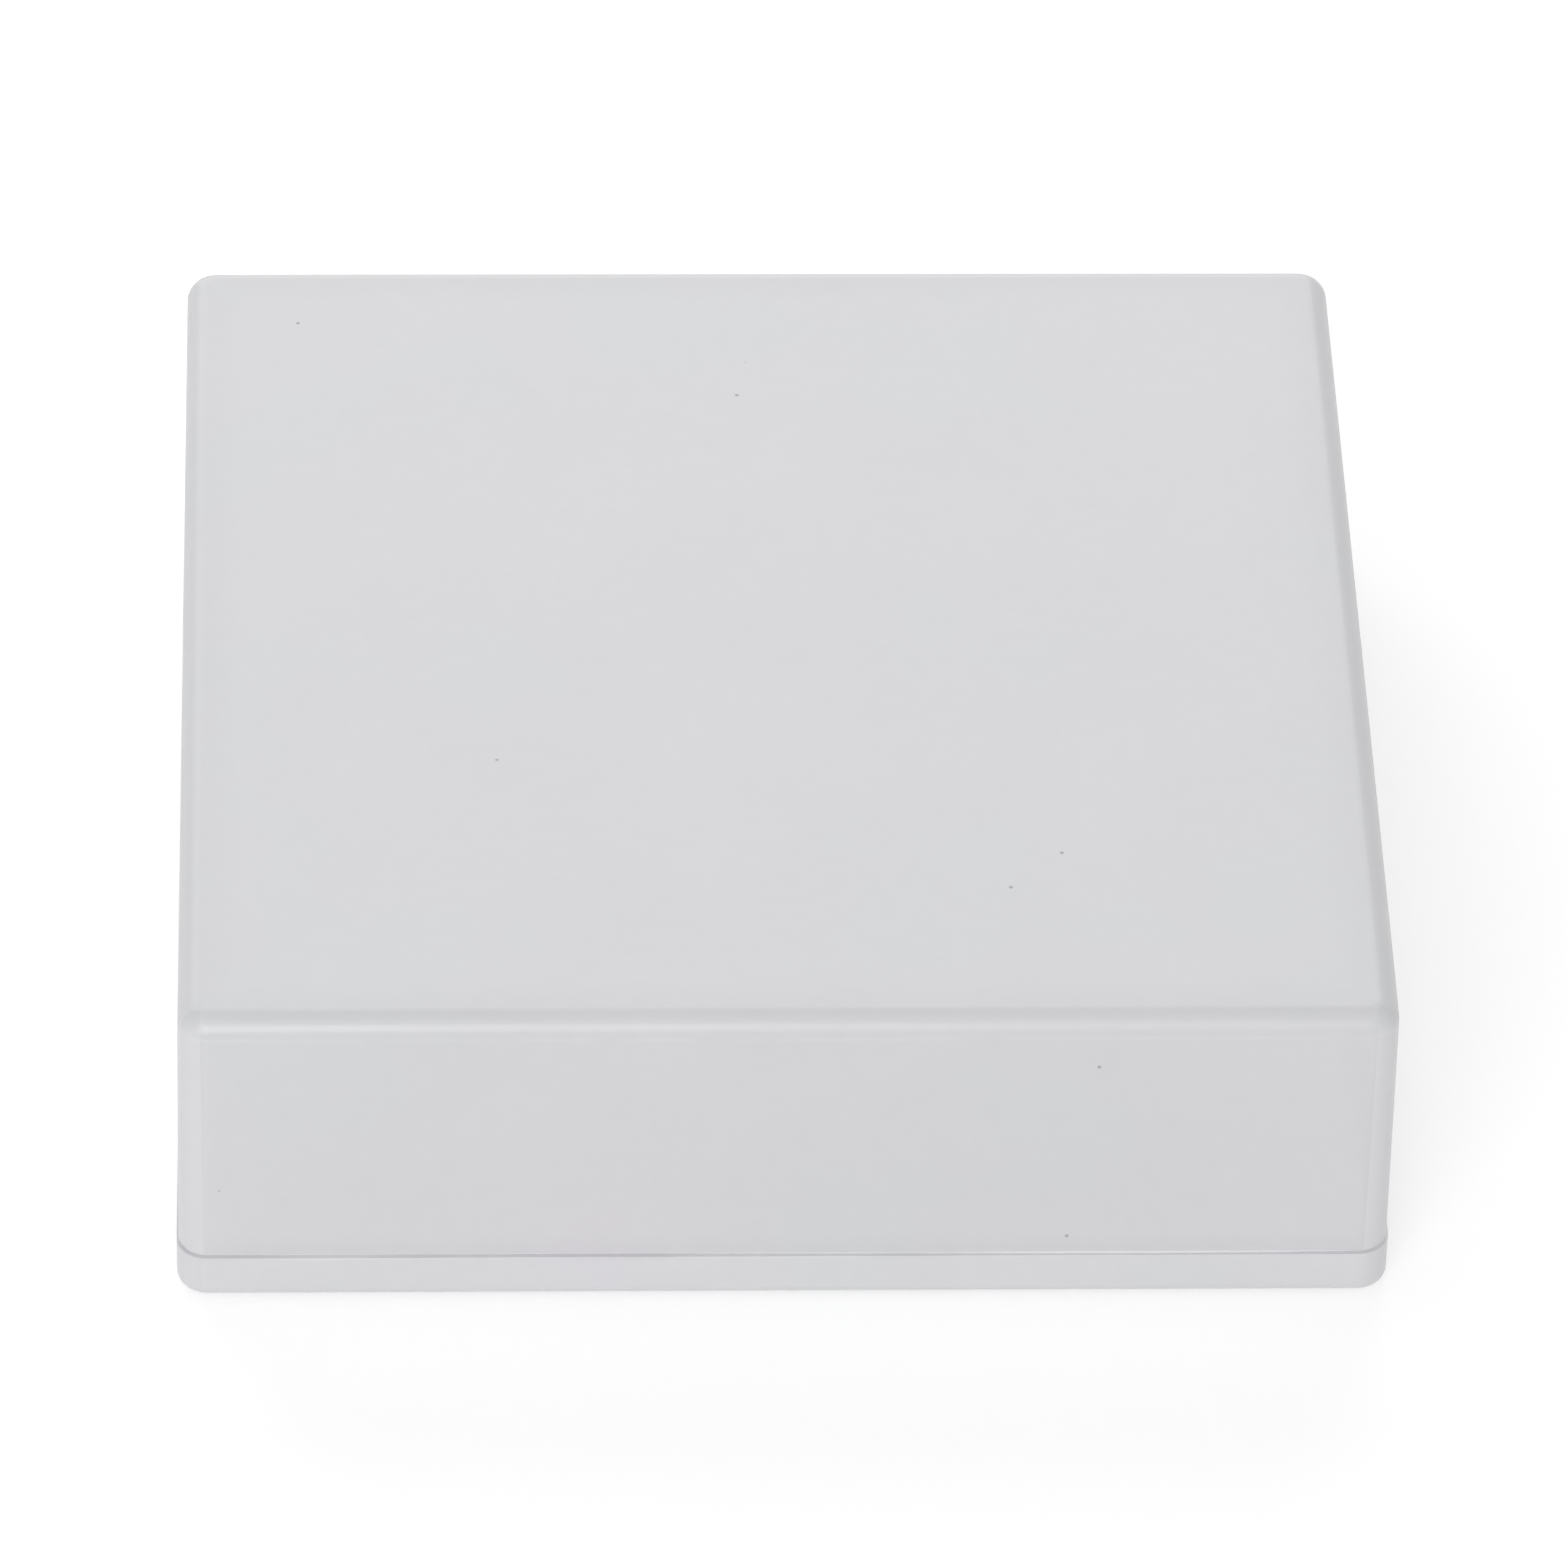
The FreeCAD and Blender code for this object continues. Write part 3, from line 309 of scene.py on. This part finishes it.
# ---- Gasket and roof pads
# Silicone strip and sheet, cut to length, squeezed where it seals the joint or bears on
# the roof. It gives a dull white with no edge to its gloss.
dress(speckled("cut_white_silicone", "#e6e6e2", "#dcdcd6", 3.0, 0.55, relief=0.03),
      "housing_gasket", "roof_pads")


# ---- Reflector plate
# White-filled polycarbonate sheet, die-cut, laid on the spigot under the heat spreader.
# Its filler gives an even matt ivory white that sends stray light back up.
dress(speckled("matt_white_filled_sheet", "#d6d5cd", "#cfcec6", 6.0, 0.6, relief=0.02),
      "reflector_plate")


# ---- Heat spreader
# Aluminium sheet, punched and folded, left in its mill finish. The rolling lines run along
# X and give a soft streaked gloss. They are 0.05 mm apart, and drawn at 0.4 mm to show.
dress(speckled("mill_finish_aluminium", "#d2d3d5", "#bfc1c4", 0.4, 0.34, metallic=1.0,
               relief=0.01, stretch=(0.05, 1, 1)), "heat_spreader")


# ---- Screws and their seals
# Cold-headed stainless steel with a socket in each head, on moulded nitrile rings. The
# heading leaves a warm grey gloss with fine marks, drawn twice as coarse as they are.
dress(speckled("headed_stainless_steel", "#c4c3c0", "#aeadaa", 0.4, 0.28, metallic=1.0,
               relief=0.005), "housing_screws", "spreader_screws", "led_board_screws",
      "board_screws")
# Black rubber with a dusty bloom, so it never looks wholly black.
dress(speckled("moulded_nitrile_rubber", "#232323", "#302f2e", 0.6, 0.7, relief=0.02),
      "screw_seals", "gland_seal", "cable_seal")


# ---- LED boards
# Aluminium-core boards screwed to the spreader's upright walls. Their solder mask is
# screened on, which gives an eggshell white.
dress(speckled("screened_white_mask", "#ededea", "#e3e3df", 1.5, 0.35, relief=0.01),
      "front_led_board", "rear_led_board")


# ---- LEDs
# Each is a white ceramic package soldered to its board, with yellow phosphor under a clear
# silicone dome, so the package is matt and the dome glossy.
package_height = 0.7 * MM
material, tree, place = new_material("phosphor_under_silicone")
outward = add(tree, "ShaderNodeSeparateXYZ", {0: place}).outputs["Y"]
outward = sums(tree, "ABSOLUTE", outward, 0.0)
board_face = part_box("rear_led_board")[1][1]
dome = ramp(tree, outward, board_face + package_height, board_face + package_height + 0.05 * MM)
tint = blend(tree, blotches(tree, place, 0.8 * MM, 0.0, 0.25), linear("#e8dc9a"), linear("#d8c878"))
tint = blend(tree, dome, linear("#efeee9"), tint)
body = add(tree, "ShaderNodeBsdfPrincipled", {
    "Base Color": tint, "IOR": 1.41, "Roughness": ramp(tree, dome, 0.0, 1.0, 0.45, 0.12)})
add(tree, "ShaderNodeOutputMaterial", {"Surface": body.outputs[0]})
dress(material, "front_leds", "rear_leds")


# ---- Headers
# Two-way sockets moulded in black nylon and soldered to the LED boards: a plain satin
# black with a fine moulded grain, drawn at 0.4 mm.
dress(speckled("moulded_black_nylon", "#242426", "#2e2e30", 0.4, 0.5, relief=0.02),
      "front_header", "rear_header")


# ---- Driver board
# Glass-epoxy board on four standoffs. The mask is a clear deep green, and the copper under
# it shows as paler tracks, drawn 0.5 mm wide in place of 0.3 mm.
track_pitch = 12 * MM
material, tree, place = new_material("green_masked_glass_epoxy")
tracks = add(tree, "ShaderNodeTexBrick", {
    "Vector": place, "Scale": 1 / track_pitch, "Mortar Size": 0.02, "Mortar Smooth": 0.3,
    "Color1": linear("#14502c"), "Color2": linear("#175632"), "Mortar": linear("#2c7746")})
tint = blend(tree, blotches(tree, place, 2 * MM, 0.0, 0.3), tracks.outputs["Color"],
             linear("#104526"))
body = add(tree, "ShaderNodeBsdfPrincipled", {
    "Base Color": tint, "Roughness": blotches(tree, place, 3 * MM, 0.22, 0.34)})
add(tree, "ShaderNodeOutputMaterial", {"Surface": body.outputs[0]})
dress(material, "driver_board")


# ---- Standoffs and cable gland
# Turned from brass bar: the standoffs screw to the spreader, and the gland to the base
# plate. The lathe leaves rings, drawn at 0.4 mm, that streak the gloss.
dress(speckled("turned_brass", "#c9a75a", "#b8964c", 0.4, 0.3, metallic=1.0, relief=0.005),
      "board_standoffs", "gland_body", "gland_locknut", "gland_cap")


# ---- Driver parts
# Bought-in parts, each in the usual finish of its trade, soldered to the driver board.
# The capacitors' cans are drawn aluminium, with faint upright drawing lines.
dress(speckled("drawn_aluminium_can", "#c9cacc", "#b9babd", 0.5, 0.3, metallic=1.0,
               relief=0.005, stretch=(1, 1, 0.1)), "filter_capacitors")
# The surge disc is dipped in blue epoxy, which dries glossy and a little uneven.
dress(speckled("dipped_blue_epoxy", "#27508f", "#1f447e", 1.2, 0.3, relief=0.03),
      "surge_varistor")
# Pressed and fired ferrite is a dry charcoal grey with a gritty skin.
dress(speckled("sintered_ferrite", "#3f3f41", "#323235", 0.5, 0.75, relief=0.02),
      "driver_inductor")
# Transfer-moulded packages come out of the mould in an even matt black.
dress(speckled("moulded_black_epoxy", "#202022", "#29292b", 0.4, 0.6, relief=0.02),
      "bridge_rectifier", "driver_chip")
# Polyamide takes a clear green, with a soft gloss from the mould.
dress(speckled("moulded_green_polyamide", "#2f8a4e", "#277a43", 1.5, 0.4, relief=0.02),
      "terminal_block")
# Zinc plate is bright with a faint cloudiness.
dress(speckled("zinc_plated_steel", "#cfd0cc", "#bbbdb8", 0.4, 0.3, metallic=1.0, relief=0.005),
      "terminal_screws")
